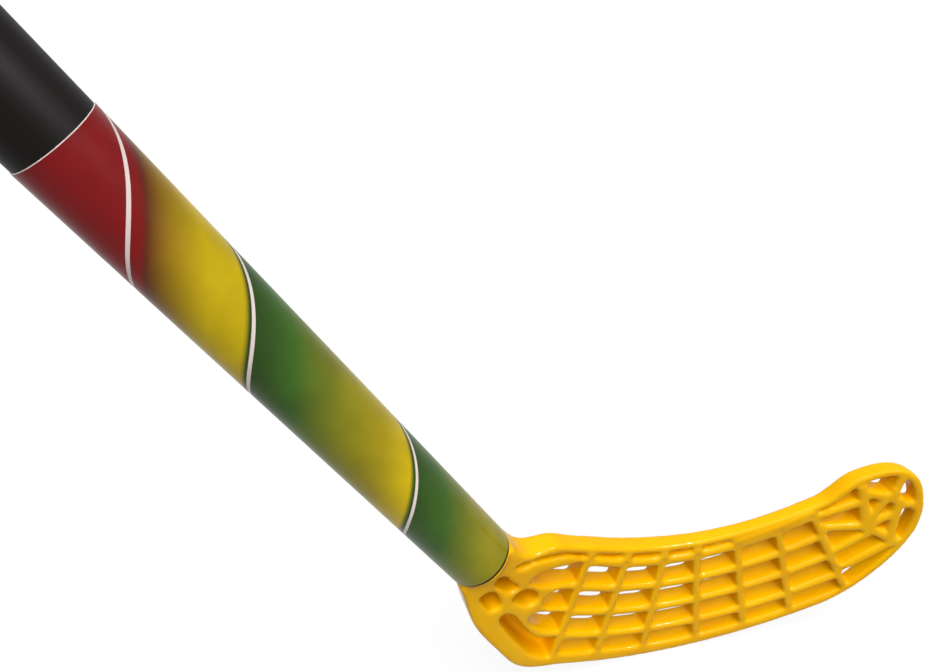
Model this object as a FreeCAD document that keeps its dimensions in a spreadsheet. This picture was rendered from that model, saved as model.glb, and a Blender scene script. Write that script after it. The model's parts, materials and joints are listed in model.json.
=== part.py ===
import FreeCAD, Part
import math
import os

import Sketcher

# Floorball stick in its playing pose: the blade lies along +X, the shaft leans up towards -X.
# The origin is on the shaft's axis in the middle of the grip. Lengths are in mm, angles in degrees.

doc = FreeCAD.newDocument("floorball_stick")
Vec = FreeCAD.Vector

# Driving sizes, one named value each
sizes = {
    # Shaft
    "lie_angle": 58.0,
    "tube_length": 750.0,
    "tube_outer_dia": 26.0,
    "tube_wall": 2.0,
    "fit_gap": 0.1,
    "label_length": 208.0,
    "label_film": 0.25,
    "label_margin": 1.2,
    # Grip
    "grip_length": 260.0,
    "grip_thickness": 2.0,
    "wrap_pitch": 23.0,
    "seam_width": 1.2,
    "seam_depth": 0.35,
    "band_width": 20.0,
    "band_overlap": 12.0,
    "band_film": 0.4,
    "band_squeeze": 0.4,
    "cap_height": 6.0,
    "cap_round": 3.0,
    "cap_plug_length": 18.0,
    "cap_plug_bore_dia": 15.0,
    # Blade: concentric slats about a centre above it, and ribs that fan across them
    "fan_x": 92.5,
    "fan_z": 84.2,
    "top_x": 95.0,
    "top_radius": 121.2,
    "top_drop": 16.8,
    "frame_wall": 3.8,
    "first_slat_radius": 111.6,
    "slat_pitch": 13.6,
    "slat_wall": 3.8,
    "first_slat_wall": 4.5,
    "last_slat_wall": 5.4,
    "rib_wall": 3.5,
    "rib_radius": 132.0,
    "rib_first_angle": -23.6,
    "rib_step_angle": 8.7,
    "truss_wall": 4.0,
    "truss_hub_dia": 6.0,
    "pocket_web": 2.0,
    "sole_x": 90.0,
    "sole_radius": 165.0,
    "sole_drop": 82.8,
    "front_offset": 4.5,
    "hook_start": 38.0,
    "hook_radius": 555.0,
    "neck_half_depth": 8.0,
    "plan_margin": 3.0,
    # Blade: collar under the tube and spigot inside it
    "collar_length": 1.5,
    "shoulder_length": 5.0,
    "shoulder_dia": 17.0,
    "spigot_length": 45.0,
    "spigot_bore_dia": 13.0,
    "spigot_bore_depth": 38.0,
    # Blade screw at the back
    "screw_height": 15.0,
    "screw_head_dia": 6.6,
    "screw_head_height": 2.2,
    "screw_shank_dia": 3.5,
    "screw_length": 9.0,
    "screw_clearance": 0.25,
    "recess_width": 1.0,
    "recess_length": 3.6,
    "recess_depth": 1.2,
    # Place of the grip mount
    "hold_from_butt": 130.0,
}

sheet = doc.addObject("Spreadsheet::Sheet", "sizes")
for row, (name, value) in enumerate(sizes.items(), 1):
    sheet.set("A%d" % row, name)
    sheet.set("B%d" % row, str(value))
    sheet.setAlias("B%d" % row, name)
doc.recompute()


def size(name):
    return float(sheet.get(name))


def tie(item, links):
    for prop, text in links.items():
        item.setExpression(prop, text)
    return item


def named(text):
    # Names in the expressions below are the sheet's aliases
    for name in sorted(sizes, key=len, reverse=True):
        text = text.replace("@" + name, "sizes." + name)
    return text


def cylinder(label, radius, height, start="0 mm"):
    item = doc.addObject("Part::Cylinder", label)
    tie(item, {"Radius": named(radius), "Height": named(height), "Placement.Base.z": named(start)})
    return item


def cut(label, base, tool):
    item = doc.addObject("Part::Cut", label)
    item.Base = base
    item.Tool = tool
    return item


def fuse(label, items):
    item = doc.addObject("Part::MultiFuse", label)
    item.Shapes = items
    return item


def common(label, items):
    item = doc.addObject("Part::MultiCommon", label)
    item.Shapes = items
    return item


front_view = FreeCAD.Rotation(Vec(1, 0, 0), 90)


def drawing(label, curves, placement=None):
    item = doc.addObject("Sketcher::SketchObject", label)
    if placement:
        item.Placement = placement
    for curve in curves:
        number = item.addGeometry(curve, False)
        item.addConstraint(Sketcher.Constraint("Block", number))
    return item


def polygon(points):
    corners = [Vec(x, z, 0) for x, z in points]
    return [Part.LineSegment(a, b) for a, b in zip(corners, corners[1:] + corners[:1])]


def smooth(points, first=None, last=None):
    curve = Part.BSplineCurve()
    corners = [Vec(x, z, 0) for x, z in points]
    if first and last:
        curve.interpolate(Points=corners, InitialTangent=Vec(*first, 0), FinalTangent=Vec(*last, 0),
                          Scale=False)
    else:
        curve.interpolate(corners)
    return curve


def loop(points):
    curve = Part.BSplineCurve()
    curve.interpolate(Points=[Vec(x, z, 0) for x, z in points], PeriodicFlag=True)
    return curve


def slab(label, source, direction, half="60 mm"):
    item = doc.addObject("Part::Extrusion", label)
    item.Base = source
    item.DirMode = "Custom"
    item.Dir = direction
    item.Solid = True
    tie(item, {"LengthFwd": half, "LengthRev": half})
    return item


lie = math.radians(size("lie_angle"))
down = (math.cos(lie), -math.sin(lie))
across = (math.sin(lie), math.cos(lie))


def on_shaft(along, side):
    # Front-view point at a distance below the tube's end and to the side of the axis
    return (along * down[0] + side * across[0], along * down[1] + side * across[1])


# Blade outline in the front view, with the centre of the tube's end as zero
def top_point(x):
    centre = size("top_radius") - size("top_drop")
    return (x, centre - math.sqrt(size("top_radius") ** 2 - (x - size("top_x")) ** 2))


def sole_point(x):
    centre = size("sole_radius") - size("sole_drop")
    return (x, centre - math.sqrt(size("sole_radius") ** 2 - (x - size("sole_x")) ** 2))


def slope(point, x, step=0.01):
    a, b = point(x - step), point(x + step)
    run = math.hypot(b[0] - a[0], b[1] - a[1])
    return ((b[0] - a[0]) / run, (b[1] - a[1]) / run)


def reverse(direction):
    return (-direction[0], -direction[1])


def inward(point, direction, wall):
    # The outline runs clockwise, so its inside is on the right
    return (point[0] + wall * direction[1], point[1] - wall * direction[0])


def moved_in(points, first, last, wall):
    # The same smooth stretch, every point of it moved in by the wall
    curve = smooth(points, first, last)
    moved = []
    for x, z in points:
        tangent = curve.tangent(curve.parameter(Vec(x, z, 0)))[0]
        moved.append(inward((x, z), (tangent.x, tangent.y), wall))
    return moved


def outline(wall):
    # Closed outline of the blade, moved in by the wall
    curves = []
    for points, first, last in stretches:
        curves.append(smooth(moved_in(points, first, last, wall), first, last))
    for point, xs, way in arcs:
        spots = [inward(point(x), [way * part for part in slope(point, x)], wall) for x in xs]
        curves.append(Part.Arc(*[Vec(x, z, 0) for x, z in spots]))
    curves.append(Part.LineSegment(curves[2].EndPoint, curves[0].StartPoint))
    return curves


tube_radius = size("tube_outer_dia") / 2
neck_right = on_shaft(size("collar_length"), tube_radius)
neck_left = on_shaft(size("collar_length"), -tube_radius)
top_start, top_end = 52.0, 148.0
sole_start, sole_end = 160.0, 38.0
top_edge = [neck_right, (15.0, 1.2), (20.5, -1.5), (29.0, -1.0), (38.0, -4.0), top_point(top_start)]
toe = [top_point(top_end), (158.5, 5.2), (168.0, 9.6), (177.0, 10.6), (185.2, 6.8), (191.0, -4.0),
       (193.0, -18.0), (188.8, -34.5), (178.2, -51.4), sole_point(sole_start)]
heel = [sole_point(sole_end), (26.0, -70.7), (15.5, -64.3), (5.6, -49.5), (-4.6, -30.0), neck_left]
stretches = [
    (top_edge, (0.4, -0.9), slope(top_point, top_start)),
    (toe, slope(top_point, top_end), reverse(slope(sole_point, sole_start))),
    (heel, reverse(slope(sole_point, sole_end)), (-0.35, 0.94)),
]
arcs = [
    (top_point, (top_start, size("top_x"), top_end), 1),
    (sole_point, (sole_start, size("sole_x"), sole_end), -1),
]
upright = FreeCAD.Placement(Vec(0, 0, 0), front_view)
blade_outline = drawing("blade_outline", outline(0.0), upright)
inner_outline = drawing("inner_outline", outline(size("frame_wall")), upright)

# Plan of the blade: flared at the neck, hooked towards the front


def front_y(x):
    run = max(x - size("hook_start"), 0.0)
    return -size("front_offset") - size("hook_radius") + math.sqrt(size("hook_radius") ** 2 - run ** 2)


reach_left = min(x for x, z in heel) - size("plan_margin")
reach_right = max(x for x, z in toe) + size("plan_margin")
half_depth = size("neck_half_depth")
neck_front = [(reach_left, -half_depth), (4.0, 0.4 - half_depth), (16.0, -6.4), (27.0, -5.0),
              (size("hook_start"), front_y(size("hook_start")))]


def plan(label, back):
    return drawing(label, [
        smooth(neck_front, (1.0, 0.0), (1.0, 0.0)),
        Part.Arc(*[Vec(x, front_y(x), 0) for x in (size("hook_start"), 120.0, reach_right)]),
        Part.LineSegment(Vec(reach_right, front_y(reach_right), 0), Vec(*back[-1], 0)),
        smooth(back),
        Part.LineSegment(Vec(*back[0], 0), Vec(*neck_front[0], 0)),
    ])


def back_points(neck, depth_stations):
    return neck + [(x, front_y(x) + depth) for x, depth in depth_stations]


# The slats and ribs are a little deeper than the rail round them
rail_neck = [(reach_left, half_depth), (4.0, half_depth - 0.4), (17.0, 6.2), (31.0, 5.0)]
rail_depths = [(46.0, 8.6), (70.0, 8.2), (95.0, 7.3), (125.0, 6.7), (160.0, 7.0), (reach_right, 6.6)]
lattice_neck = [(reach_left, half_depth + 2.6), (4.0, half_depth + 2.2), (17.0, 8.8), (31.0, 6.8)]
lattice_depths = [(46.0, 9.5), (70.0, 9.1), (92.0, 8.7), (125.0, 9.3), (160.0, 9.0), (reach_right, 7.2)]
lattice_back = back_points(lattice_neck, lattice_depths)
rail_plan = plan("rail_plan", back_points(rail_neck, rail_depths))
lattice_plan = plan("lattice_plan", lattice_back)
inner_slab = slab("inner_slab", inner_outline, Vec(0, 1, 0))
rail_blank = common("rail_blank", [
    cut("rail_slab", slab("outline_slab", blade_outline, Vec(0, 1, 0)), inner_slab),
    slab("rail_plan_slab", rail_plan, Vec(0, 0, 1), "120 mm"),
])
lattice_blank = common("lattice_blank", [
    inner_slab,
    slab("lattice_plan_slab", lattice_plan, Vec(0, 0, 1), "120 mm"),
])

# Openings: everything inside the frame except the slats, the ribs and the toe truss


def fan_cylinder(label, radius):
    item = doc.addObject("Part::Cylinder", label)
    item.Placement = FreeCAD.Placement(Vec(0, 0, 0), front_view)
    tie(item, {"Radius": named(radius), "Height": "120 mm", "Placement.Base.x": named("@fan_x"),
               "Placement.Base.y": "60 mm", "Placement.Base.z": named("@fan_z")})
    return item


slat_count = 4
rows = []
for row in range(slat_count + 1):
    inside = "@first_slat_radius + %d * @slat_pitch" % (row - 1)
    wall = {0: "@first_slat_wall", slat_count: "@last_slat_wall"}.get(row, "@slat_wall")
    outside = "@first_slat_radius + %d * @slat_pitch - %s" % (row, wall)
    ring = cut("row_%d" % row, fan_cylinder("row_%d_outer" % row, outside),
               fan_cylinder("row_%d_inner" % row, inside))
    rows.append(ring)

rib_leans = (-14.0, -10.0, -4.0, 7.0, 12.0, 16.0, 27.0)


def rib_line(number):
    # Middle of a rib, and the point on its line at any height
    angle = math.radians(size("rib_first_angle") + number * size("rib_step_angle"))
    lean = math.radians(rib_leans[number])
    middle_x = size("fan_x") + size("rib_radius") * math.sin(angle)
    middle_z = size("fan_z") - size("rib_radius") * math.cos(angle)
    return lambda z: (middle_x - (z - middle_z) * math.tan(lean), z)


def strip(label, start, end, wall):
    # Straight wall along a line of the front view, through the whole depth
    angle = math.atan2(end[1] - start[1], end[0] - start[0])
    half = size(wall) / 2
    corner = Vec(start[0] + half * math.sin(angle), -60, start[1] - half * math.cos(angle))
    item = doc.addObject("Part::Box", label)
    item.Placement = FreeCAD.Placement(corner, FreeCAD.Rotation(Vec(0, 1, 0), -math.degrees(angle)))
    item.Length = math.hypot(end[0] - start[0], end[1] - start[1])
    item.Width = 120
    tie(item, {"Height": named("@" + wall)})
    return item


low, high = -90.0, 20.0
rib_lines = [rib_line(number) for number in range(len(rib_leans))]
ribs = [strip("rib_%d" % (n + 1), line(low), line(high), "rib_wall") for n, line in enumerate(rib_lines)]
heel_rib, toe_rib = rib_lines[0], rib_lines[-1]


def field(label, left, right):
    corners = [left(low), right(low), right(high), left(high)]
    return slab(label + "_slab", drawing(label, polygon(corners), upright), Vec(0, 1, 0))


# The top row is the narrow gap under the rail and ends two ribs sooner than the others
top_row = common("top_row", [rows[0], field("top_field", heel_rib, rib_lines[-3])])
other_rows = common("other_rows", [fuse("rows", rows[1:]), field("row_field", heel_rib, toe_rib)])

# Heel: the slats draw together towards the neck, with through slots between them
heel_slots = [
    [(13.0, -4.4), (21.0, -4.8), (27.0, -5.6), (33.0, -6.5), (39.0, -8.0), (47.0, -11.2), (47.0, -12.8),
     (39.0, -9.6), (32.0, -8.0), (26.0, -7.1), (20.0, -6.3), (14.0, -5.9)],
    [(19.5, -15.4), (24.0, -14.0), (30.0, -13.7), (38.0, -14.4), (48.0, -16.6), (47.0, -26.5), (39.0, -24.9),
     (32.0, -23.2), (26.0, -21.2), (21.0, -18.0)],
    [(27.4, -28.2), (31.0, -27.1), (35.0, -27.5), (40.0, -29.2), (48.0, -32.0), (45.0, -41.5), (37.0, -38.4),
     (29.0, -35.2), (26.0, -31.8)],
    [(20.4, -35.6), (24.0, -36.0), (30.1, -38.9), (36.0, -41.2), (44.0, -44.2), (42.0, -55.0), (35.0, -52.0),
     (27.5, -48.4), (22.4, -43.4), (19.6, -38.6)],
]

# Round the neck the gaps are pockets with a web at the back, and the lowest one turns up along the heel
heel_pockets = [
    [(4.4, -9.0), (6.9, -7.6), (11.6, -13.0), (14.2, -17.0), (10.6, -17.4), (6.6, -14.0)],
    [(-1.5, -15.0), (3.0, -14.0), (6.0, -19.4), (6.2, -23.4), (2.8, -24.4), (-0.4, -20.0)],
    [(12.4, -21.4), (16.8, -19.6), (21.0, -21.8), (23.2, -25.0), (23.0, -28.2), (20.2, -29.4),
     (15.0, -26.2)],
    [(7.6, -29.2), (11.2, -30.8), (15.2, -37.0), (19.4, -44.8), (23.5, -50.4), (30.0, -54.2), (41.0, -58.6),
     (38.0, -69.5), (29.0, -65.6), (22.3, -60.5), (17.0, -53.2), (12.8, -46.0), (8.8, -38.2), (6.6, -32.4)],
]
heel_side = field("heel_field", lambda z: (reach_left, z), heel_rib)
heel_drawing = drawing("heel_slots", [loop(slot) for slot in heel_slots], upright)
heel_through = common("heel_through", [slab("heel_slab", heel_drawing, Vec(0, 1, 0)), heel_side])
pocket_drawing = drawing("heel_pockets", [loop(pocket) for pocket in heel_pockets], upright)
pocket_floor = [(x, y - size("pocket_web")) for x, y in lattice_back]
floor_front = -60.0
floor_corners = [pocket_floor[-1], (reach_right, floor_front), (reach_left, floor_front), pocket_floor[0]]
floor_sides = [Part.LineSegment(Vec(*a, 0), Vec(*b, 0)) for a, b in zip(floor_corners, floor_corners[1:])]
floor_plan = drawing("pocket_floor", [smooth(pocket_floor)] + floor_sides)
heel_blind = common("heel_blind", [
    slab("pocket_slab", pocket_drawing, Vec(0, 1, 0)),
    slab("pocket_floor_slab", floor_plan, Vec(0, 0, 1), "120 mm"),
    heel_side,
])

# Toe: one field inside the rail, crossed by a truss of straight walls
toe_slab = field("toe_field", toe_rib, lambda z: (reach_right, z))
hub = (170.0, -20.1)
truss_lines = [
    (hub, (149.0, -19.3)),
    (hub, (161.4, 9.6)),
    (hub, (181.0, -13.6)),
    (hub, (189.2, -33.2)),
    ((174.6, -22.0), (156.8, -35.7)),
    ((183.4, -30.8), (162.4, -46.6)),
    ((146.6, -12.6), (166.4, -5.5)),
    ((163.6, -0.8), (179.4, -5.3)),
    ((178.0, -4.8), (180.2, 10.4)),
    ((178.2, -5.5), (192.6, -12.2)),
    ((180.8, -4.6), (182.4, -28.8)),
    ((170.2, -18.4), (175.4, -3.6)),
]
truss = [strip("truss_%d" % (n + 1), a, b, "truss_wall") for n, (a, b) in enumerate(truss_lines)]
truss_hub = doc.addObject("Part::Cylinder", "truss_hub")
truss_hub.Placement = FreeCAD.Placement(Vec(hub[0], 60, hub[1]), front_view)
tie(truss_hub, {"Radius": named("@truss_hub_dia / 2"), "Height": "120 mm"})
toe_openings = cut("toe_openings", toe_slab, fuse("truss", truss + [truss_hub]))
gaps = fuse("gaps", [top_row, other_rows, heel_through, heel_blind, toe_openings])
openings = cut("openings", gaps, fuse("ribs", ribs))
lattice = cut("lattice", lattice_blank, openings)

# Collar, shoulder and hollow spigot on the shaft's axis


def on_axis(item, start="0 mm"):
    item.Placement = FreeCAD.Placement(Vec(0, 0, 0), FreeCAD.Rotation(Vec(0, 1, 0), 0))
    along = named("(" + start + ")")
    tie(item, {"Placement.Rotation.Angle": named("(@lie_angle - 90) * 1 deg"),
               "Placement.Base.x": "-%s * cos(sizes.lie_angle * 1 deg)" % along,
               "Placement.Base.z": "%s * sin(sizes.lie_angle * 1 deg)" % along})
    return item


def axis_cylinder(label, radius, height, start):
    item = doc.addObject("Part::Cylinder", label)
    tie(item, {"Radius": named(radius), "Height": named(height)})
    return on_axis(item, start)


collar = axis_cylinder("collar", "@tube_outer_dia / 2", "@collar_length", "-@collar_length")
shoulder = doc.addObject("Part::Cone", "shoulder")
tie(shoulder, {"Radius1": named("@shoulder_dia / 2"), "Radius2": named("@tube_outer_dia / 2"),
               "Height": named("@shoulder_length")})
on_axis(shoulder, "-@collar_length - @shoulder_length")
spigot = axis_cylinder("spigot", "@tube_outer_dia / 2 - @tube_wall - @fit_gap", "@spigot_length", "0 mm")
spigot_bore = axis_cylinder("spigot_bore", "@spigot_bore_dia / 2", "@spigot_bore_depth",
                            "@spigot_length - @spigot_bore_depth")

pilot_start = "@tube_outer_dia / 2 - @screw_length"


def screw_cylinder(label, radius, length, y_start, along="@screw_height"):
    # Cylinder across the shaft, along +Y, at the screw's height above the tube's end
    item = doc.addObject("Part::Cylinder", label)
    item.Placement = FreeCAD.Placement(Vec(0, 0, 0), FreeCAD.Rotation(Vec(1, 0, 0), -90))
    tie(item, {"Radius": named(radius), "Height": named(length), "Placement.Base.y": named(y_start),
               "Placement.Base.z": named(along)})
    return item


pilot = screw_cylinder("pilot", "@screw_shank_dia / 2 + @fit_gap / 2", "@tube_outer_dia", pilot_start,
                       "@screw_height * sin(@lie_angle * 1 deg)")
tie(pilot, {"Placement.Base.x": named("-@screw_height * cos(@lie_angle * 1 deg)")})
blade_solid = fuse("blade_solid", [rail_blank, lattice, collar, shoulder, spigot])
blade = cut("blade", blade_solid, fuse("blade_bores", [spigot_bore, pilot]))

# Shaft pieces, drawn upright with the tube's lower end as zero
tube_hole = screw_cylinder("tube_hole", "@screw_shank_dia / 2 + @screw_clearance", "@tube_outer_dia", "0 mm")
tube_shell = cut("tube_shell", cylinder("tube_outside", "@tube_outer_dia / 2", "@tube_length"),
                 cylinder("tube_inside", "@tube_outer_dia / 2 - @tube_wall", "@tube_length"))
shaft_tube = cut("shaft_tube", tube_shell, tube_hole)

label_height = "@label_length - @label_margin"
label_radius = "@tube_outer_dia / 2 + @label_film"
label_shell = cut("label_shell", cylinder("label_outside", label_radius, label_height, "@label_margin"),
                  cylinder("label_inside", "@tube_outer_dia / 2", label_height, "@label_margin"))
label_hole = screw_cylinder("label_hole", "@screw_head_dia / 2 + @screw_clearance", "@tube_outer_dia",
                            "0 mm")
shaft_label = cut("shaft_label", label_shell, label_hole)

# Screw: pan head with a cross recess on a plain shank
shank = screw_cylinder("shank", "@screw_shank_dia / 2", "@screw_length", pilot_start)
head = screw_cylinder("head", "@screw_head_dia / 2", "@screw_head_height", "@tube_outer_dia / 2")
head_top = "@tube_outer_dia / 2 + @screw_head_height"
recess = []
for number in range(2):
    slot = doc.addObject("Part::Box", "recess_%d" % (number + 1))
    wide, tall = ("@recess_length", "@recess_width") if number else ("@recess_width", "@recess_length")
    tie(slot, {"Length": named(wide), "Height": named(tall), "Width": named("@recess_depth"),
               "Placement.Base.x": named("-%s / 2" % wide),
               "Placement.Base.y": named(head_top + " - @recess_depth"),
               "Placement.Base.z": named("@screw_height - %s / 2" % tall)})
    recess.append(slot)
blade_screw = cut("blade_screw", fuse("screw_blank", [shank, head]), fuse("recess", recess))


def profile(body, label, curves):
    # Half section in the body's XZ plane, for a turned piece
    item = body.newObject("Sketcher::SketchObject", label)
    item.Placement = upright
    for curve in curves:
        number = item.addGeometry(curve, False)
        item.addConstraint(Sketcher.Constraint("Block", number))
    return item


def turned(label, curves):
    body = doc.addObject("PartDesign::Body", label)
    sketch = profile(body, label + "_section", curves)
    turn = body.newObject("PartDesign::Revolution", label + "_turn")
    turn.Profile = sketch
    turn.ReferenceAxis = (sketch, ["V_Axis"])
    turn.Angle = 360
    return body


# Grip tape: a sleeve with the seam of its winding running round it as one helix, squeezed under the band
grip_radius = tube_radius + size("grip_thickness")
grip_foot = size("tube_length") - size("grip_length")
squeezed_radius = grip_radius - size("band_squeeze")
band_top = grip_foot + size("band_overlap")
grip_tape = doc.addObject("PartDesign::Body", "grip_tape")
sleeve = grip_tape.newObject("PartDesign::Revolution", "grip_sleeve")
sleeve_section = profile(grip_tape, "grip_sleeve_section", polygon([
    (tube_radius, grip_foot), (squeezed_radius, grip_foot), (squeezed_radius, band_top),
    (grip_radius, band_top), (grip_radius, size("tube_length")), (tube_radius, size("tube_length"))]))
sleeve.Profile = sleeve_section
sleeve.ReferenceAxis = (sleeve_section, ["V_Axis"])
sleeve.Angle = 360
seam_foot = grip_foot - size("wrap_pitch")
seam_section = profile(grip_tape, "seam_section", polygon([
    (grip_radius - size("seam_depth"), seam_foot),
    (grip_radius + size("seam_depth"), seam_foot - size("seam_width")),
    (grip_radius + size("seam_depth"), seam_foot + size("seam_width"))]))
seam = grip_tape.newObject("PartDesign::SubtractiveHelix", "seam")
seam.Profile = seam_section
seam.ReferenceAxis = (seam_section, ["V_Axis"])
seam.Mode = 0
tie(seam, {"Pitch": named("@wrap_pitch"), "Height": named("@grip_length + 2 * @wrap_pitch")})

# Finishing band over the foot of the grip, stepped from the tape down to the tube
film = size("band_film")
tape_radius = squeezed_radius + size("fit_gap")
tape_foot = grip_foot - size("fit_gap")
band_edge = band_top - size("fit_gap")
band_foot = band_top - size("band_width")
grip_band = turned("grip_band", polygon([
    (tube_radius, band_foot), (tube_radius + film, band_foot), (tube_radius + film, tape_foot - film),
    (tape_radius + film, tape_foot - film), (tape_radius + film, band_edge), (tape_radius, band_edge),
    (tape_radius, tape_foot), (tube_radius, tape_foot)]))

# End cap: a rounded flange on the butt with a hollow plug inside the tube
butt = size("tube_length")
cap_top = butt + size("cap_height")
rounding = size("cap_round")
plug_radius = tube_radius - size("tube_wall") - size("fit_gap")
plug_foot = butt - size("cap_plug_length")
plug_bore = size("cap_plug_bore_dia") / 2
corner = rounding * (1 - math.sqrt(0.5))
cap_path = [(0.0, cap_top), (0.0, butt), (plug_bore, butt), (plug_bore, plug_foot), (plug_radius, plug_foot),
            (plug_radius, butt), (grip_radius, butt), (grip_radius, cap_top - rounding)]
cap_curves = [Part.LineSegment(Vec(*a, 0), Vec(*b, 0)) for a, b in zip(cap_path, cap_path[1:])]
cap_curves.append(Part.Arc(Vec(grip_radius, cap_top - rounding, 0),
                           Vec(grip_radius - corner, cap_top - corner, 0),
                           Vec(grip_radius - rounding, cap_top, 0)))
cap_curves.append(Part.LineSegment(Vec(grip_radius - rounding, cap_top, 0), Vec(0, cap_top, 0)))
end_cap = turned("end_cap", cap_curves)

# Every piece goes to its place on the stick
reach = "(@tube_length - @hold_from_butt)"
place = {"Placement.Base.x": named(reach + " * cos(@lie_angle * 1 deg)"),
         "Placement.Base.z": named("-" + reach + " * sin(@lie_angle * 1 deg)")}
tie(blade, place)
shaft_pieces = [shaft_tube, shaft_label, blade_screw, grip_tape, grip_band, end_cap]
for piece in shaft_pieces:
    piece.Placement = FreeCAD.Placement(Vec(0, 0, 0), FreeCAD.Rotation(Vec(0, 1, 0), -10))
    tie(piece, place)
    tie(piece, {"Placement.Rotation.Angle": named("(@lie_angle - 90) * 1 deg")})
doc.recompute()

for item in doc.Objects:
    faults = [state for state in item.State if state in ("Invalid", "Error")]
    if faults:
        raise RuntimeError("%s is %s" % (item.Label, faults))
os.makedirs("parts", exist_ok=True)
for piece in [blade] + shaft_pieces:
    shape = piece.Shape
    if shape.isNull() or not shape.isValid() or len(shape.Solids) != 1:
        raise RuntimeError(piece.Label + " is not one valid solid")
    shape.exportStep("parts/%s.step" % piece.Label)
    box = shape.BoundBox
    print("%-12s %9.0f mm3  x %7.1f %7.1f  y %6.1f %6.1f  z %7.1f %7.1f" % (
        piece.Label, shape.Volume, box.XMin, box.XMax, box.YMin, box.YMax, box.ZMin, box.ZMax))
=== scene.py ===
import json
import math

import bpy
import numpy as np
from bpy.props import FloatProperty, FloatVectorProperty, IntProperty, PointerProperty
from bpy.types import Operator, Panel, PropertyGroup
from mathutils import Matrix, Vector


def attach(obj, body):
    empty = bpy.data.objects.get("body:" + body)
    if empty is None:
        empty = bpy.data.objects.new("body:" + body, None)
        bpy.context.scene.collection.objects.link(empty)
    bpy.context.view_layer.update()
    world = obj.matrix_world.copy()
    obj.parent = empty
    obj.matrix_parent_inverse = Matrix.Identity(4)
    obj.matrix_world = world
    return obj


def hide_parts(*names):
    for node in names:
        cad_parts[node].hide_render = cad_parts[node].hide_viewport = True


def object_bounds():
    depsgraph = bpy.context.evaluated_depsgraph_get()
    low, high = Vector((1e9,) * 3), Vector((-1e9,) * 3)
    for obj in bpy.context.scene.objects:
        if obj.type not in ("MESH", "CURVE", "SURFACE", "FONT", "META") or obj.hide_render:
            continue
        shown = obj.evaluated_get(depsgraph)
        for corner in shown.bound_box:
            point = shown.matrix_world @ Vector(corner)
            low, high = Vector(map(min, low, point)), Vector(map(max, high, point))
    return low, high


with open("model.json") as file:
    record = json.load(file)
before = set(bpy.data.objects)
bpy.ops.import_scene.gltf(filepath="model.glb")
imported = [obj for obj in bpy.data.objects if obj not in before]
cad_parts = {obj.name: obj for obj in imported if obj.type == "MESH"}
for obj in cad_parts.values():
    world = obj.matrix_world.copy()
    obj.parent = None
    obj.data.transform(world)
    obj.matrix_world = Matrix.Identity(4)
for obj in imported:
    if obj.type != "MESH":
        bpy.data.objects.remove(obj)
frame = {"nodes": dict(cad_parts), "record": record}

bl_info = {
    "name": "Floorball Stick",
    "version": (1, 0, 0),
    "blender": (4, 5, 0),
    "location": "View3D > Sidebar > Stick",
    "description": "Finishes a floorball stick: moulded blade, printed shaft, wound grip and studio stage",
    "category": "Object",
}

MM = 0.001
BLACK = (0, 0, 0)
WHITE = (1, 1, 1)
CAD_BOX = [list(corner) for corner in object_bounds()]
MOUNTS = {mount["name"]: mount for mount in frame["record"]["mounts"]}

# The shaft's axis passes through the origin in the middle of the grip and leans in the XZ plane.
SHAFT_AXIS = Vector(MOUNTS["grip"]["axis"]).normalized()
SHAFT_LEAN = math.atan2(SHAFT_AXIS.x, SHAFT_AXIS.z)
TUBE_RADIUS = MOUNTS["bare_tube"]["dims"]["r_mm"] * MM
GRIP_RADIUS = MOUNTS["grip"]["dims"]["r_mm"] * MM
# The tape is drawn in by this much under the finishing band.
BAND_SQUEEZE = 0.4 * MM
# Wound pieces are turned in this many steps, and points closer together than the weld become one.
TURN_STEPS = 72
WELD = 0.001 * MM

# Front view of the blade, in X and Z. Seven ribs fan about a centre above it, each given by a point on its
# middle and by its lean. Ribs and slats reach between two distances from that centre.
FAN_CENTRE = Vector((421.05, -441.59)) * MM
RIB_REACH = (108 * MM, 158 * MM)
SLAT_REACH = (105 * MM, 156 * MM)
RIB_HALF_WIDTH = 2 * MM
RIB_RADIUS = 132 * MM
RIB_ANGLES = [math.radians(-23.6 + 8.7 * number) for number in range(7)]
RIB_LEANS = [math.radians(lean) for lean in (-14, -10, -4, 7, 12, 16, 27)]
RIBS = [(FAN_CENTRE + RIB_RADIUS * Vector((math.sin(angle), -math.cos(angle))), lean)
        for angle, lean in zip(RIB_ANGLES, RIB_LEANS)]
# Beyond the last rib is the toe. Its truss lies in an ellipse, and its edges are rounded less.
TOE_CENTRE = Vector((496.5, -545.8)) * MM
TOE_SPAN = Vector((19, 24)) * MM
TOE_BLEND = 10 * MM
TOE_FIRMNESS = 0.6
# The moulded blade may have at most this many faces. An exported mesh is thinned past
# 200,000 triangles.
FACE_LIMIT = 199000


def linear(code):
    """Linear colour of an sRGB hex value."""
    parts = [int(code[i:i + 2], 16) / 255 for i in (0, 2, 4)]
    return [part / 12.92 if part <= 0.04045 else ((part + 0.055) / 1.055) ** 2.4 for part in parts]


def along_shaft(node):
    """Lowest and highest point of a node along the shaft, in metres from the origin."""
    reach = [vertex.co.dot(SHAFT_AXIS) for vertex in frame["nodes"][node].data.vertices]
    return min(reach), max(reach)


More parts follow.
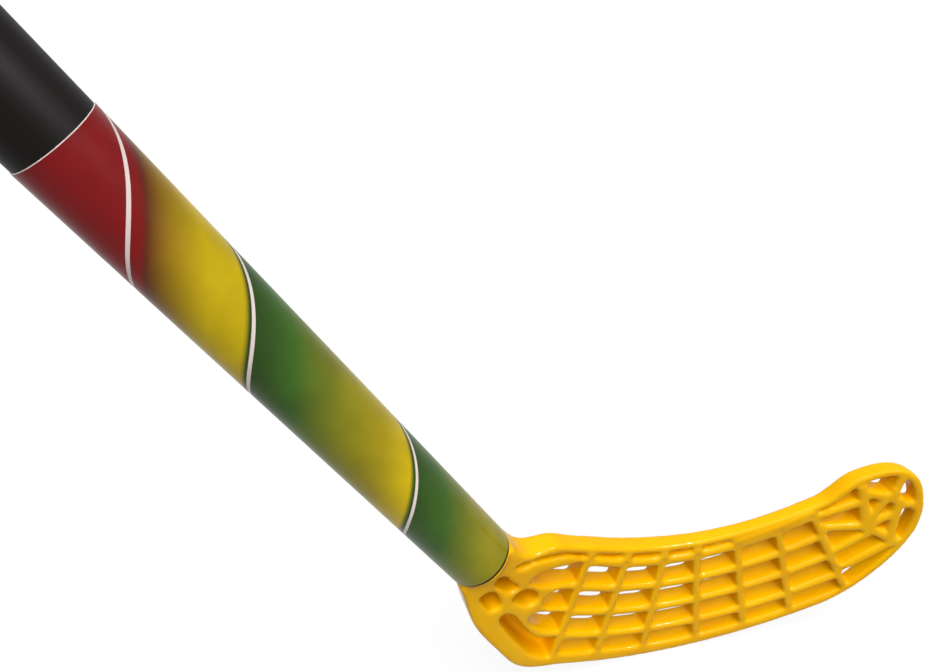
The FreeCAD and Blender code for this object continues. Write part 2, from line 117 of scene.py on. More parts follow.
class BladeSettings(PropertyGroup):
    fine_grain: FloatProperty(
        name="Fine Grain", description="Grain in which the edges are rounded", default=0.36 * MM,
        min=0.2 * MM, unit="LENGTH", precision=5)
    grain: FloatProperty(
        name="Grain", description="Grain of the finished moulding", default=0.55 * MM,
        min=0.3 * MM, unit="LENGTH", precision=5)
    rounding: IntProperty(
        name="Edge Rounding", description="Passes that round every edge", default=32, min=0)
    slat_rounding: IntProperty(
        name="Slat Rounding", description="Further passes that round the slats between the ribs",
        default=100, min=0)
    belly: FloatProperty(
        name="Belly", description="How far slats and truss swell between the ribs", default=0.45 * MM,
        min=0, unit="LENGTH", precision=5)
    faces: IntProperty(
        name="Faces", description="Triangles that the moulding is thinned to", default=190000, min=1000)
    colour: FloatVectorProperty(
        name="Plastic", description="Colour of the blade's plastic", default=linear("F6BA00"),
        subtype="COLOR", size=3, min=0, max=1)
    deep_colour: FloatVectorProperty(
        name="Thick Plastic", description="Colour where the plastic flowed last", default=linear("F0AC00"),
        subtype="COLOR", size=3, min=0, max=1)


class ShaftSettings(PropertyGroup):
    tube_colour: FloatVectorProperty(
        name="Tube", description="Colour of the tube's lacquer", default=linear("100B0A"),
        subtype="COLOR", size=3, min=0, max=1)
    red: FloatVectorProperty(
        name="Red", description="Red of the printed film", default=linear("8C1014"),
        subtype="COLOR", size=3, min=0, max=1)
    gold: FloatVectorProperty(
        name="Gold", description="Gold of the printed film", default=linear("D9BB06"),
        subtype="COLOR", size=3, min=0, max=1)
    green: FloatVectorProperty(
        name="Green", description="Green of the printed film", default=linear("3F6A1E"),
        subtype="COLOR", size=3, min=0, max=1)
    rule_colour: FloatVectorProperty(
        name="Rules", description="Pale rules and cut edge of the film", default=linear("F3E3DC"),
        subtype="COLOR", size=3, min=0, max=1)
    screw_colour: FloatVectorProperty(
        name="Screw", description="Colour of the screw's zinc", default=linear("C4C6C8"),
        subtype="COLOR", size=3, min=0, max=1)


class GripSettings(PropertyGroup):
    pitch: FloatProperty(
        name="Tape Pitch", description="Advance of the tape in one turn", default=23 * MM,
        min=5 * MM, unit="LENGTH", precision=4)
    lap_height: FloatProperty(
        name="Lap", description="Step where one turn laps the last", default=0.75 * MM,
        min=0, unit="LENGTH", precision=5)
    colour: FloatVectorProperty(
        name="Tape", description="Colour of the grip tape", default=linear("2A2A2C"),
        subtype="COLOR", size=3, min=0, max=1)
    band_colour: FloatVectorProperty(
        name="Band", description="Colour of the finishing band", default=linear("1C1C1E"),
        subtype="COLOR", size=3, min=0, max=1)
    cap_colour: FloatVectorProperty(
        name="Cap", description="Colour of the end cap", default=linear("202022"),
        subtype="COLOR", size=3, min=0, max=1)


class StageSettings(PropertyGroup):
    floor_colour: FloatVectorProperty(
        name="Floor", description="Colour of the floor", default=linear("6A6A6A"),
        subtype="COLOR", size=3, min=0, max=1)
    floor_size: FloatProperty(
        name="Floor Size", description="Side of the floor", default=30.0, min=1, unit="LENGTH")
    key_power: FloatProperty(
        name="Softbox", description="Strength of the softbox overhead", default=4.1, min=0)
    back_power: FloatProperty(
        name="Back Softbox", description="Strength of the softbox behind the stick", default=0.9, min=0)
    highlight_power: FloatProperty(
        name="Highlight Lamp", description="Strength of the small lamp that draws the highlights",
        default=9.0, min=0)
    fill: FloatProperty(
        name="Room Light", description="Strength of the even light of the room", default=0.04, min=0)


def take(piece):
    """Makes a piece the only selected and active one."""
    bpy.ops.object.select_all(action="DESELECT")
    piece.select_set(True)
    bpy.context.view_layer.objects.active = piece


def apply_modifier(piece, kind, **settings):
    """Adds a modifier to a piece and applies it."""
    take(piece)
    modifier = piece.modifiers.new(kind.title(), kind)
    for name, value in settings.items():
        setattr(modifier, name, value)
    bpy.ops.object.modifier_apply(modifier=modifier.name)


def smooth(piece, passes, group=""):
    """Rounds a piece, or the group of its points, in so many passes."""
    apply_modifier(piece, "SMOOTH", factor=0.5, iterations=passes, vertex_group=group)


def merged_copy(node, name):
    """A copy of a CAD node with its loose triangles merged."""
    piece = bpy.data.objects.new(name, frame["nodes"][node].data.copy())
    bpy.context.scene.collection.objects.link(piece)
    take(piece)
    bpy.ops.object.mode_set(mode="EDIT")
    bpy.ops.mesh.select_all(action="SELECT")
    bpy.ops.mesh.remove_doubles(threshold=WELD)
    bpy.ops.object.mode_set(mode="OBJECT")
    return piece


def weigh(piece, name, weights):
    """A vertex group with these weights, in tenths."""
    group = piece.vertex_groups.new(name=name)
    tenths = np.rint(np.multiply(weights, 10)).astype(int)
    for tenth in range(1, 11):
        group.add(np.flatnonzero(tenths == tenth).tolist(), tenth / 10, "REPLACE")


def blade_zones(piece):
    """How far each point of the blade is rounded, and whether it lies on a slat or the toe's truss."""
    points = np.empty(3 * len(piece.data.vertices))
    piece.data.vertices.foreach_get("co", points)
    x, z = points[0::3], points[2::3]
    radius = np.hypot(x - FAN_CENTRE.x, z - FAN_CENTRE.y)
    across = [(x - foot.x + (z - foot.y) * math.tan(lean)) * math.cos(lean) for foot, lean in RIBS]
    in_ribs, in_slats = [(radius > low) & (radius < high) for low, high in (RIB_REACH, SLAT_REACH)]
    rib = (np.min(np.abs(across), axis=0) < RIB_HALF_WIDTH) & in_ribs
    rounded = np.where(rib, 0.0, 1 - TOE_FIRMNESS * np.clip(across[-1] / TOE_BLEND, 0, 1))
    slat = (across[0] > 0) & (across[-1] < 0) & in_slats & ~rib
    truss = np.hypot((x - TOE_CENTRE.x) / TOE_SPAN.x, (z - TOE_CENTRE.y) / TOE_SPAN.y) < 1
    return rounded, slat | truss


def draw_profile(name, points):
    """A half section in the XZ plane, drawn from point to point as an open line."""
    places = [Vector((radius, 0, height)) for radius, height in points]
    bpy.ops.object.select_all(action="DESELECT")
    bpy.ops.mesh.primitive_plane_add(size=1 * MM, location=(0, 0, 0))
    piece = bpy.context.object
    piece.name = name
    bpy.ops.object.mode_set(mode="EDIT")
    bpy.ops.mesh.select_all(action="SELECT")
    bpy.ops.mesh.merge(type="CENTER")
    bpy.ops.transform.translate(value=places[0])
    for last, place in zip(places, places[1:]):
        bpy.ops.mesh.extrude_region_move(TRANSFORM_OT_translate={"value": place - last})
    bpy.ops.object.mode_set(mode="OBJECT")
    return piece


def turn_profile(piece, merge, pitch=0.0, turns=1):
    """Turns a half section round the Z axis, climbing by the pitch in each turn."""
    apply_modifier(piece, "SCREW", axis="Z", angle=math.tau, screw_offset=pitch, iterations=turns,
                   steps=TURN_STEPS, render_steps=TURN_STEPS, use_merge_vertices=True,
                   merge_threshold=merge)


def stand_on_shaft(piece):
    """Turns an upright piece onto the shaft's axis."""
    take(piece)
    piece.rotation_euler = (0, SHAFT_LEAN, 0)
    bpy.ops.object.transform_apply(location=True, rotation=True, scale=True)


def outward(piece):
    """Merges a piece's doubles and points its faces outwards."""
    take(piece)
    bpy.ops.object.mode_set(mode="EDIT")
    bpy.ops.mesh.select_all(action="SELECT")
    bpy.ops.mesh.remove_doubles(threshold=WELD)
    bpy.ops.mesh.normals_make_consistent(inside=False)
    bpy.ops.object.mode_set(mode="OBJECT")


def dress(piece, material, node=None):
    """Gives a piece its material, and where it stands for a CAD node, that node's place on the stick."""
    piece.data.materials.clear()
    piece.data.materials.append(material)
    piece.data.name = piece.name
    if node:
        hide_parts(node)
        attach(piece, "root")


def add_node(tree, kind, inputs=None, stops=None, **settings):
    """A node with its settings, its colour stops, and its inputs set or linked."""
    made = tree.nodes.new(kind)
    for name, value in settings.items():
        setattr(made, name, value)
    for number, (position, colour) in enumerate(stops or []):
        elements = made.color_ramp.elements
        element = elements[number] if number < 2 else elements.new(position)
        element.position = position
        element.color = (*colour, 1)
    for name, value in (inputs or {}).items():
        if isinstance(value, bpy.types.NodeSocket):
            tree.links.new(value, made.inputs[name])
        else:
            made.inputs[name].default_value = value
    return made


def new_material(name, **constants):
    """A material with one Principled shader whose constants are set on its own sockets."""
    material = bpy.data.materials.new(name)
    material.use_nodes = True
    tree = material.node_tree
    tree.nodes.clear()
    shader = add_node(tree, "ShaderNodeBsdfPrincipled",
                      {key.replace("_", " "): value for key, value in constants.items()})
    add_node(tree, "ShaderNodeOutputMaterial", {"Surface": shader.outputs["BSDF"]})
    place = add_node(tree, "ShaderNodeTexCoord").outputs["Object"]
    return material, tree, shader, place


def vary(tree, shader, grain, colour, shades, gloss, bump=None, ends=(0.3, 0.7)):
    """Lets a grain vary a surface between two shades of its colour, in roughness and in relief."""
    ramp = add_node(tree, "ShaderNodeValToRGB", {"Fac": grain}, stops=[
        (end, [part * shade for part in colour]) for end, shade in zip(ends, shades)])
    tree.links.new(ramp.outputs["Color"], shader.inputs["Base Color"])
    rough = add_node(tree, "ShaderNodeMapRange", {"Value": grain, "To Min": gloss[0], "To Max": gloss[1]})
    tree.links.new(rough.outputs["Result"], shader.inputs["Roughness"])
    if bump:
        relief = add_node(tree, "ShaderNodeBump", {"Height": grain, "Strength": bump[0], "Distance": bump[1]})
        tree.links.new(relief.outputs["Normal"], shader.inputs["Normal"])
    return ramp.outputs["Color"]


def shaft_place(tree, place):
    """Coordinates with Z along the shaft and -Y towards the front of the blade."""
    turned = add_node(tree, "ShaderNodeMapping", {"Vector": place, "Rotation": (0, -SHAFT_LEAN, 0)})
    return turned.outputs["Vector"]


def round_shaft(tree, turned):
    """Height along the shaft, and angle round it from the front."""
    parts = add_node(tree, "ShaderNodeSeparateXYZ", {"Vector": turned})
    back = add_node(tree, "ShaderNodeMath", {0: parts.outputs["Y"], 1: -1.0}, operation="MULTIPLY")
    angle = add_node(tree, "ShaderNodeMath", {0: parts.outputs["X"], 1: back.outputs[0]},
                     operation="ARCTAN2")
    return parts.outputs["Z"], angle.outputs[0]


def moulded_polyethylene(blade):
    # Injection-moulded polyethylene: a thin waxy gloss that the lamps draw along the edges, light that sinks
    # in a little and comes back warmer, faint flow clouds a few centimetres wide and a skin never quite flat.
    material, tree, shader, place = new_material(
        "moulded_polyethylene", IOR=1.51, Specular_IOR_Level=0.02, Subsurface_Weight=0.03,
        Subsurface_Radius=(1.0, 0.42, 0.05), Subsurface_Scale=1.0 * MM,
        Coat_Weight=0.12, Coat_Roughness=0.05)
    clouds = add_node(tree, "ShaderNodeTexNoise", {"Vector": place, "Scale": 1 / (35 * MM), "Detail": 2.0})
    colour = add_node(tree, "ShaderNodeValToRGB", {"Fac": clouds.outputs["Fac"]},
                      stops=[(0.35, blade.colour), (0.75, blade.deep_colour)])
    tree.links.new(colour.outputs["Color"], shader.inputs["Base Color"])
    skin = add_node(tree, "ShaderNodeTexNoise", {"Vector": place, "Scale": 1 / (7 * MM), "Detail": 3.0})
    gloss = add_node(tree, "ShaderNodeMapRange", {"Value": skin.outputs["Fac"], "From Min": 0.3,
                                                  "From Max": 0.7, "To Min": 0.16, "To Max": 0.26})
    tree.links.new(gloss.outputs["Result"], shader.inputs["Roughness"])
    bump = add_node(tree, "ShaderNodeBump", {"Height": skin.outputs["Fac"], "Strength": 0.1,
                                             "Distance": 0.3 * MM})
    tree.links.new(bump.outputs["Normal"], shader.inputs["Normal"])
    return material


def lacquered_composite(shaft):
    # Glass-fibre tube under satin black lacquer: a soft long highlight, and fibre bundles that show faintly
    # along it, drawn 0.9 mm wide, coarser than the real ones, to show at all.
    material, tree, shader, place = new_material(
        "lacquered_composite", IOR=1.5, Specular_IOR_Level=0.08, Coat_Weight=0.03, Coat_Roughness=0.3)
    turned = shaft_place(tree, place)
    fibres = add_node(tree, "ShaderNodeMapping", {
        "Vector": turned, "Scale": (1 / (0.9 * MM), 1 / (0.9 * MM), 1 / (40 * MM))})
    grain = add_node(tree, "ShaderNodeTexNoise", {"Vector": fibres.outputs["Vector"], "Scale": 1.0,
                                                  "Detail": 2.0})
    vary(tree, shader, grain.outputs["Fac"], shaft.tube_colour, shades=(0.8, 1.25), gloss=(0.4, 0.52),
         bump=(0.1, 0.1 * MM), ends=(0.3, 0.75))
    return material


def printed_film(shaft):
    # Clear-coated printed film: broad bands of colour wind round the shaft and fade into one another,
    # pale rules run beside them, and the film's cut edge at the top shows white.
    material, tree, shader, place = new_material(
        "printed_film", IOR=1.5, Specular_IOR_Level=0.08, Roughness=0.35, Coat_Weight=0.15,
        Coat_Roughness=0.04)
    turned = shaft_place(tree, place)
    height, angle = round_shaft(tree, turned)
    foot, top = along_shaft("shaft_label")
    share = add_node(tree, "ShaderNodeMapRange", {"Value": height, "From Min": foot, "From Max": top},
                     clamp=False)
    climb = 0.4  # share of the film's length that a band takes in one turn
    wound = add_node(tree, "ShaderNodeMath", {0: angle, 1: -climb / math.tau, 2: share.outputs["Result"]},
                     operation="MULTIPLY_ADD")
    brown = [0.5 * red + 0.12 * green for red, green in zip(shaft.red, shaft.green)]
    dark_green = [0.45 * part for part in shaft.green]
    olive = [0.45 * gold + 0.4 * green for gold, green in zip(shaft.gold, shaft.green)]
    bands = add_node(tree, "ShaderNodeValToRGB", {"Fac": wound.outputs[0]}, stops=[
        (0.0, olive), (1.0, shaft.red), (0.16, shaft.green), (0.26, dark_green), (0.27, shaft.gold),
        (0.40, olive), (0.56, shaft.green), (0.66, dark_green), (0.67, shaft.gold), (0.74, shaft.gold),
        (0.85, brown), (0.86, shaft.red)])
    ripple = add_node(tree, "ShaderNodeTexNoise", {"Vector": turned, "Scale": 1 / (18 * MM), "Detail": 3.0})
    shade = add_node(tree, "ShaderNodeMapRange", {"Value": ripple.outputs["Fac"], "From Min": 0.3,
                                                  "From Max": 0.7, "To Min": 0.8, "To Max": 1.08})
    mottled = add_node(tree, "ShaderNodeMix", {0: 1.0, 6: bands.outputs["Color"],
                                               7: shade.outputs["Result"]},
                       data_type="RGBA", blend_type="MULTIPLY")
    rules = add_node(tree, "ShaderNodeValToRGB", {"Fac": wound.outputs[0]}, stops=[
        (0.0, BLACK), (1.0, BLACK), (0.246, WHITE), (0.253, BLACK), (0.646, WHITE), (0.653, BLACK),
        (0.875, WHITE), (0.882, BLACK)])
    rules.color_ramp.interpolation = "CONSTANT"
    edge = add_node(tree, "ShaderNodeMath", {0: height, 1: top - 0.22 * MM}, operation="GREATER_THAN")
    pale = add_node(tree, "ShaderNodeMath", {0: edge.outputs[0], 1: rules.outputs["Color"]},
                    operation="MAXIMUM")
    colour = add_node(tree, "ShaderNodeMix", {0: pale.outputs[0], 6: mottled.outputs[2],
                                              7: (*shaft.rule_colour, 1)}, data_type="RGBA")
    tree.links.new(colour.outputs[2], shader.inputs["Base Color"])
    return material


def zinc_steel(shaft):
    # Zinc-plated steel: bluish grey metal with a dull bloom in spots about a millimetre wide.
    material, tree, shader, place = new_material("zinc_plated_steel", Metallic=1.0)
    bloom = add_node(tree, "ShaderNodeTexNoise", {"Vector": place, "Scale": 1 / (1.2 * MM), "Detail": 4.0})
    vary(tree, shader, bloom.outputs["Fac"], shaft.screw_colour, shades=(0.75, 1.0), gloss=(0.22, 0.45))
    return material


def perforated_polyurethane(grip):
    # Soft polyurethane tape: dull, slightly tacky skin, punched with rows of small holes 3.8 mm apart.
    # Its grain is drawn at 0.8 mm, coarser than the real one, to show at all.
    material, tree, shader, place = new_material(
        "perforated_polyurethane", IOR=1.46, Specular_IOR_Level=0.2, Sheen_Weight=0.15, Sheen_Roughness=0.5)
    height, angle = round_shaft(tree, shaft_place(tree, place))
    mean_radius = 14.6 * MM
    girth = add_node(tree, "ShaderNodeMath", {0: angle, 1: mean_radius}, operation="MULTIPLY")
    flat = add_node(tree, "ShaderNodeCombineXYZ", {"X": girth.outputs[0], "Y": height})
    holes = add_node(tree, "ShaderNodeTexVoronoi", {
        "Vector": flat.outputs["Vector"], "Scale": 1 / (3.8 * MM), "Randomness": 0.0},
                     voronoi_dimensions="2D")
    punched = add_node(tree, "ShaderNodeMapRange", {"Value": holes.outputs["Distance"], "From Min": 0.1,
                                                    "From Max": 0.17})
    grain = add_node(tree, "ShaderNodeTexNoise", {"Vector": place, "Scale": 1 / (0.8 * MM), "Detail": 3.0})
    skin = vary(tree, shader, grain.outputs["Fac"], grip.colour, shades=(0.75, 1.2), gloss=(0.55, 0.75))
    dotted = add_node(tree, "ShaderNodeMix", {0: punched.outputs["Result"], 6: (0.002, 0.002, 0.002, 1),
                                              7: skin}, data_type="RGBA")
    tree.links.new(dotted.outputs[2], shader.inputs["Base Color"])
    relief = add_node(tree, "ShaderNodeMath", {0: grain.outputs["Fac"], 1: 0.25,
                                               2: punched.outputs["Result"]}, operation="MULTIPLY_ADD")
    bump = add_node(tree, "ShaderNodeBump", {"Height": relief.outputs[0], "Strength": 0.6,
                                             "Distance": 0.25 * MM})
    tree.links.new(bump.outputs["Normal"], shader.inputs["Normal"])
    return material


def stretched_vinyl(grip):
    # Stretched vinyl tape: smooth satin skin with faint pull lines round the shaft.
    material, tree, shader, place = new_material("stretched_vinyl", IOR=1.53, Specular_IOR_Level=0.2)
    turned = shaft_place(tree, place)
    pull = add_node(tree, "ShaderNodeMapping", {
        "Vector": turned, "Scale": (1 / (14 * MM), 1 / (14 * MM), 1 / (1.1 * MM))})
    lines = add_node(tree, "ShaderNodeTexNoise", {"Vector": pull.outputs["Vector"], "Scale": 1.0,
                                                  "Detail": 2.0})
    vary(tree, shader, lines.outputs["Fac"], grip.band_colour, shades=(0.8, 1.2), gloss=(0.28, 0.42),
         bump=(0.3, 0.12 * MM))
    return material


def grained_polypropylene(grip):
    # Moulded polypropylene with a spark-eroded grain, drawn a little coarser than the real 0.2 mm to show.
    material, tree, shader, place = new_material("grained_polypropylene", IOR=1.49, Specular_IOR_Level=0.2)
    grain = add_node(tree, "ShaderNodeTexNoise", {"Vector": place, "Scale": 1 / (0.5 * MM), "Detail": 3.0})
    vary(tree, shader, grain.outputs["Fac"], grip.cap_colour, shades=(0.8, 1.2), gloss=(0.45, 0.6),
         bump=(0.4, 0.12 * MM))
    return material


class STICK_OT_mould_blade(Operator):
    """Rounds the blade's slats, ribs and rail as a mould does"""
    bl_idname = "stick.mould_blade"
    bl_label = "Mould Blade"
    # Passes that blend the swollen slats into the ribs, and that even out the last grain
    joining = 8
    polishing = 2

    def execute(self, context):
        blade = context.scene.stick_blade
        piece = merged_copy("blade", "blade_moulding")
        apply_modifier(piece, "REMESH", mode="VOXEL", voxel_size=blade.fine_grain)
        smooth(piece, blade.rounding)
        rounded, slats = blade_zones(piece)
        weigh(piece, "rounded", rounded)
        weigh(piece, "slats", slats)
        smooth(piece, blade.slat_rounding, "rounded")
        apply_modifier(piece, "DISPLACE", direction="NORMAL", mid_level=0.0, strength=blade.belly,
                       vertex_group="slats")
        smooth(piece, self.joining)
        apply_modifier(piece, "REMESH", mode="VOXEL", voxel_size=blade.grain)
        smooth(piece, self.polishing)
        # Each face of the remeshed blade makes two triangles
        apply_modifier(piece, "DECIMATE", ratio=min(1.0, blade.faces / (2 * len(piece.data.polygons))))
        take(piece)
        bpy.ops.object.shade_smooth()
        if len(piece.data.polygons) > FACE_LIMIT:
            raise RuntimeError("the blade has too many faces: %d" % len(piece.data.polygons))
        dress(piece, moulded_polyethylene(blade), "blade")
        return {"FINISHED"}


class STICK_OT_paint_tube(Operator):
    """Lacquers the tube"""
    bl_idname = "stick.paint_tube"
    bl_label = "Paint Tube"

    def execute(self, context):
        dress(frame["nodes"]["shaft_tube"], lacquered_composite(context.scene.stick_shaft))
        return {"FINISHED"}


class STICK_OT_print_label(Operator):
    """Prints the film round the lower end of the shaft"""
    bl_idname = "stick.print_label"
    bl_label = "Print Label"

    def execute(self, context):
        dress(frame["nodes"]["shaft_label"], printed_film(context.scene.stick_shaft))
        return {"FINISHED"}


class STICK_OT_drive_screw(Operator):
    """Softens the edges of the blade's screw and plates it"""
    bl_idname = "stick.drive_screw"
    bl_label = "Drive Screw"

    def execute(self, context):
        piece = merged_copy("blade_screw", "blade_screw_plated")
        apply_modifier(piece, "DECIMATE", decimate_type="DISSOLVE", angle_limit=math.radians(2))
        apply_modifier(piece, "BEVEL", width=0.3 * MM, segments=3, limit_method="ANGLE",
                       angle_limit=math.radians(40))
        take(piece)
        bpy.ops.object.shade_smooth_by_angle(angle=math.radians(40))
        dress(piece, zinc_steel(context.scene.stick_shaft), "blade_screw")
        return {"FINISHED"}


class STICK_OT_wind_grip(Operator):
    """Winds the grip tape up the shaft, each turn lapping the last"""
    bl_idname = "stick.wind_grip"
    bl_label = "Wind Grip"

    def execute(self, context):
        grip = context.scene.stick_grip
        inner = TUBE_RADIUS + 0.03 * MM
        outer = GRIP_RADIUS
        foot, butt = along_shaft("grip_tape")
        low = outer - grip.lap_height
        # One turn in section: the edge that laps the last turn, the crown, and the slope under the next
        section = [(low, 0.0), (low + 0.1 * MM, -0.25 * MM), (outer - 0.3 * MM, -0.3 * MM),
                   (outer - 0.08 * MM, 0.05 * MM), (outer, 0.6 * MM), (outer - 0.02 * MM, 3 * MM),
                   (outer - 0.25 * grip.lap_height, 9 * MM), (outer - 0.7 * grip.lap_height, 16 * MM),
                   (low + 0.03 * MM, 21 * MM), (low, grip.pitch)]
        piece = draw_profile("grip_winding", section)
        turns = math.ceil((butt - foot) / grip.pitch) + 3
        turn_profile(piece, 0.02 * MM, grip.pitch, turns)
        take(piece)
        bpy.ops.object.mode_set(mode="EDIT")
        bpy.ops.mesh.select_all(action="SELECT")
        bpy.ops.mesh.remove_doubles(threshold=0.01 * MM)
        bpy.ops.transform.translate(value=(0, 0, foot - 1.5 * grip.pitch))
        for end, way in ((foot, -1), (butt, 1)):
            bpy.ops.mesh.select_all(action="SELECT")
            bpy.ops.mesh.bisect(plane_co=(0, 0, end), plane_no=(0, 0, way), clear_outer=True)
            bpy.ops.mesh.extrude_edges_move()
            bpy.ops.transform.resize(value=(inner / low, inner / low, 1), center_override=(0, 0, end))
        bpy.ops.mesh.select_all(action="DESELECT")
        bpy.ops.mesh.select_mode(type="EDGE")
        bpy.ops.mesh.select_non_manifold()
        bpy.ops.mesh.bridge_edge_loops()
        bpy.ops.object.mode_set(mode="OBJECT")
        self.squeeze(piece, along_shaft("grip_band")[1], (outer - BAND_SQUEEZE) / outer)
        outward(piece)
        stand_on_shaft(piece)
        bpy.ops.object.shade_smooth_by_angle(angle=math.radians(50))
        dress(piece, perforated_polyurethane(grip), "grip_tape")
        return {"FINISHED"}

    def squeeze(self, piece, height, share):
        """Draws the tape in under the finishing band."""
        take(piece)
        inside = TUBE_RADIUS + 0.8 * MM
        for vertex in piece.data.vertices:
            vertex.select = vertex.co.z < height and vertex.co.xy.length > inside
        bpy.ops.object.mode_set(mode="EDIT")
        bpy.ops.mesh.select_mode(type="VERT")
        bpy.ops.transform.resize(value=(share, share, 1), center_override=(0, 0, height))
        bpy.ops.object.mode_set(mode="OBJECT")


class STICK_OT_wrap_band(Operator):
    """Wraps the finishing band over the foot of the grip"""
    bl_idname = "stick.wrap_band"
    bl_label = "Wrap Band"

    def execute(self, context):
        clearance = 0.02 * MM
        tube = TUBE_RADIUS + clearance
        tape = GRIP_RADIUS - BAND_SQUEEZE + clearance
        outer = GRIP_RADIUS
        foot, top = along_shaft("grip_band")
        step = along_shaft("grip_tape")[0]
        # Turns of tape lie on one another, so both edges are stepped where the upper turn stops short
        section = [(tube, foot), (tube + 0.2 * MM, foot), (tube + 0.22 * MM, foot + 0.6 * MM),
                   (tube + 0.36 * MM, foot + 0.7 * MM), (tube + 0.38 * MM, foot + 1.4 * MM),
                   (tube + 0.38 * MM, step - 1.3 * MM), (tube + 0.5 * MM, step - 0.65 * MM),
                   (outer - 0.3 * MM, step - 0.38 * MM), (outer - 0.06 * MM, step - 0.2 * MM),
                   (outer, step + 0.4 * MM), (outer - 0.1 * MM, step + 4 * MM), (outer, step + 8 * MM),
                   (outer, top - 1.4 * MM), (outer - 0.02 * MM, top - 0.8 * MM),
                   (outer - 0.16 * MM, top - 0.7 * MM), (outer - 0.18 * MM, top), (tape, top),
                   (tape, step - 0.03 * MM), (tube, step - 0.03 * MM), (tube, foot)]
        piece = draw_profile("band_wrap", section)
        turn_profile(piece, WELD)
        outward(piece)
        stand_on_shaft(piece)
        bpy.ops.object.shade_smooth_by_angle(angle=math.radians(50))
        dress(piece, stretched_vinyl(context.scene.stick_grip), "grip_band")
        return {"FINISHED"}


class STICK_OT_fit_cap(Operator):
    """Grains the end cap"""
    bl_idname = "stick.fit_cap"
    bl_label = "Fit Cap"

    def execute(self, context):
        dress(frame["nodes"]["end_cap"], grained_polypropylene(context.scene.stick_grip))
        return {"FINISHED"}


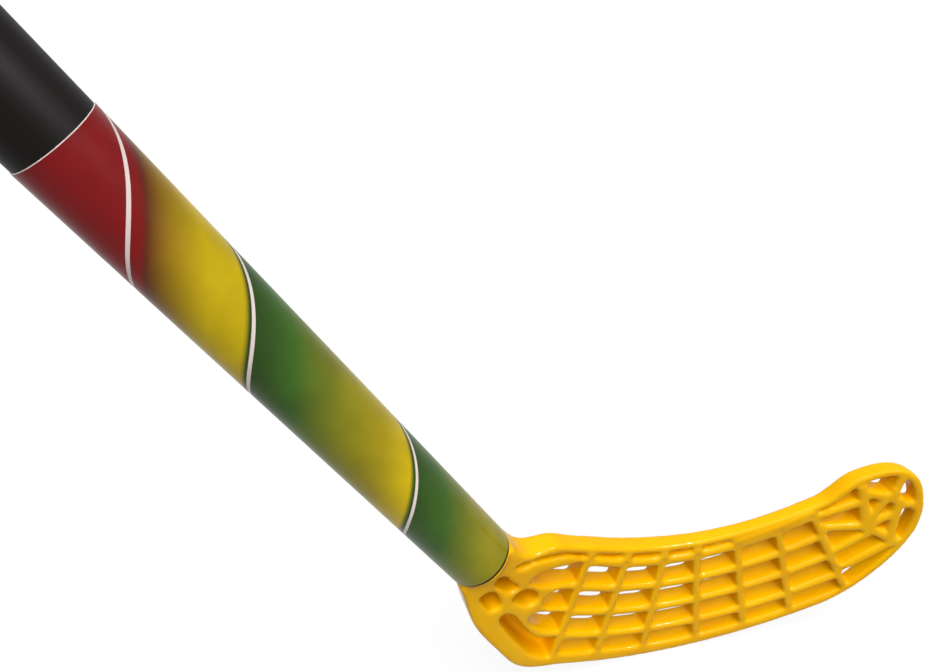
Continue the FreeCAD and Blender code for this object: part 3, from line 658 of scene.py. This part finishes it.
class STICK_OT_set_stage(Operator):
    """Lays the floor and sets the lights and the camera"""
    bl_idname = "stick.set_stage"
    bl_label = "Set Stage"

    def execute(self, context):
        stage = context.scene.stick_stage
        self.lay_floor(stage)
        self.light_room(stage)
        self.hang_lamps(stage)
        self.place_camera()
        context.scene.view_settings.view_transform = "Standard"
        return {"FINISHED"}

    def lay_floor(self, stage):
        bpy.ops.object.select_all(action="DESELECT")
        bpy.ops.mesh.primitive_plane_add(size=stage.floor_size, location=(0, 0, CAD_BOX[0][2]))
        floor = bpy.context.object
        floor.name = "floor"
        material = bpy.data.materials.new("pale_floor")
        material.use_nodes = True
        tree = material.node_tree
        tree.nodes.clear()
        matt = add_node(tree, "ShaderNodeBsdfDiffuse", {"Color": (*stage.floor_colour, 1)})
        # With the lamps' light, this much of its own makes the floor white where it is seen
        glow = 0.84
        share = add_node(tree, "ShaderNodeMath", {0: self.plain_sight(tree), 1: glow}, operation="MULTIPLY")
        lit = add_node(tree, "ShaderNodeEmission", {"Strength": share.outputs[0]})
        mixed = add_node(tree, "ShaderNodeAddShader", {0: matt.outputs["BSDF"], 1: lit.outputs["Emission"]})
        add_node(tree, "ShaderNodeOutputMaterial", {"Surface": mixed.outputs["Shader"]})
        floor.data.materials.append(material)

    def plain_sight(self, tree):
        """One for rays from the camera and for those mirrored or let through, else nothing."""
        path = add_node(tree, "ShaderNodeLightPath")
        seen = path.outputs["Is Camera Ray"]
        for ray in ("Is Glossy Ray", "Is Transmission Ray"):
            seen = add_node(tree, "ShaderNodeMath", {0: seen, 1: path.outputs[ray]},
                            operation="MAXIMUM").outputs[0]
        return seen

    def light_room(self, stage):
        world = bpy.data.worlds.new("room")
        bpy.context.scene.world = world
        world.use_nodes = True
        tree = world.node_tree
        tree.nodes.clear()
        room = add_node(tree, "ShaderNodeBackground", {"Color": (1, 1, 1, 1), "Strength": stage.fill})
        white = add_node(tree, "ShaderNodeBackground", {"Color": (1, 1, 1, 1), "Strength": 1.0})
        mixed = add_node(tree, "ShaderNodeMixShader", {0: self.plain_sight(tree),
                                                       1: room.outputs["Background"],
                                                       2: white.outputs["Background"]})
        add_node(tree, "ShaderNodeOutputWorld", {"Surface": mixed.outputs["Shader"]})

    def hang_lamps(self, stage):
        # A wide softbox overhead lights the stick evenly, a weaker one lights its back without reflections,
        # and a small lamp draws only highlights
        for name, aim, spread, power, diffuse, glossy in (
                ("softbox", (0.1, 0.5, -0.86), 70, stage.key_power, True, True),
                ("back_softbox", (-0.1, -0.7, -0.7), 70, stage.back_power, True, False),
                ("highlight_lamp", (-0.45, 0.6, -0.66), 3, stage.highlight_power, False, True)):
            bpy.ops.object.light_add(type="SUN")
            lamp = bpy.context.object
            lamp.name = name
            lamp.rotation_euler = Vector(aim).to_track_quat("-Z", "Y").to_euler()
            lamp.data.angle = math.radians(spread)
            lamp.data.energy = power
            lamp.visible_diffuse = diffuse
            lamp.visible_glossy = glossy

    def place_camera(self):
        bpy.ops.object.camera_add()
        camera = bpy.context.object
        camera.name = "camera"
        right = Vector((0.9470302, -0.3210385, -0.0082522))
        up = Vector((0.1710673, 0.4825505, 0.8590000))
        place = Vector((0.248664, -0.223538, -0.286150))
        turn = Matrix((right, up, right.cross(up))).transposed().to_4x4()
        camera.matrix_world = Matrix.Translation(place) @ turn
        sensor, frame_width, focal_length = 36.0, 928.0, 850.0  # mm, pixels and pixels
        camera.data.sensor_fit = "HORIZONTAL"
        camera.data.sensor_width = sensor
        camera.data.lens = sensor * focal_length / frame_width
        camera.data.clip_start = 0.01
        bpy.context.scene.camera = camera


OPERATORS = (STICK_OT_mould_blade, STICK_OT_paint_tube, STICK_OT_print_label, STICK_OT_drive_screw,
             STICK_OT_wind_grip, STICK_OT_wrap_band, STICK_OT_fit_cap, STICK_OT_set_stage)
GROUPS = {"stick_blade": BladeSettings, "stick_shaft": ShaftSettings, "stick_grip": GripSettings,
          "stick_stage": StageSettings}


class STICK_PT_panel(Panel):
    """Sizes, colours and steps of the stick"""
    bl_label = "Floorball Stick"
    bl_space_type = "VIEW_3D"
    bl_region_type = "UI"
    bl_category = "Stick"

    def draw(self, context):
        for name, group in GROUPS.items():
            box = self.layout.box()
            for prop in group.__annotations__:
                box.prop(getattr(context.scene, name), prop)
        for operator in OPERATORS:
            self.layout.operator(operator.bl_idname)


CLASSES = (*GROUPS.values(), *OPERATORS, STICK_PT_panel)


def register():
    for item in CLASSES:
        bpy.utils.register_class(item)
    for name, group in GROUPS.items():
        setattr(bpy.types.Scene, name, PointerProperty(type=group))


def unregister():
    for name in GROUPS:
        delattr(bpy.types.Scene, name)
    for item in reversed(CLASSES):
        bpy.utils.unregister_class(item)


def main():
    register()
    bpy.ops.stick.mould_blade()
    bpy.ops.stick.paint_tube()
    bpy.ops.stick.print_label()
    bpy.ops.stick.drive_screw()
    bpy.ops.stick.wind_grip()
    bpy.ops.stick.wrap_band()
    bpy.ops.stick.fit_cap()
    bpy.ops.stick.set_stage()


if __name__ == "__main__":
    main()
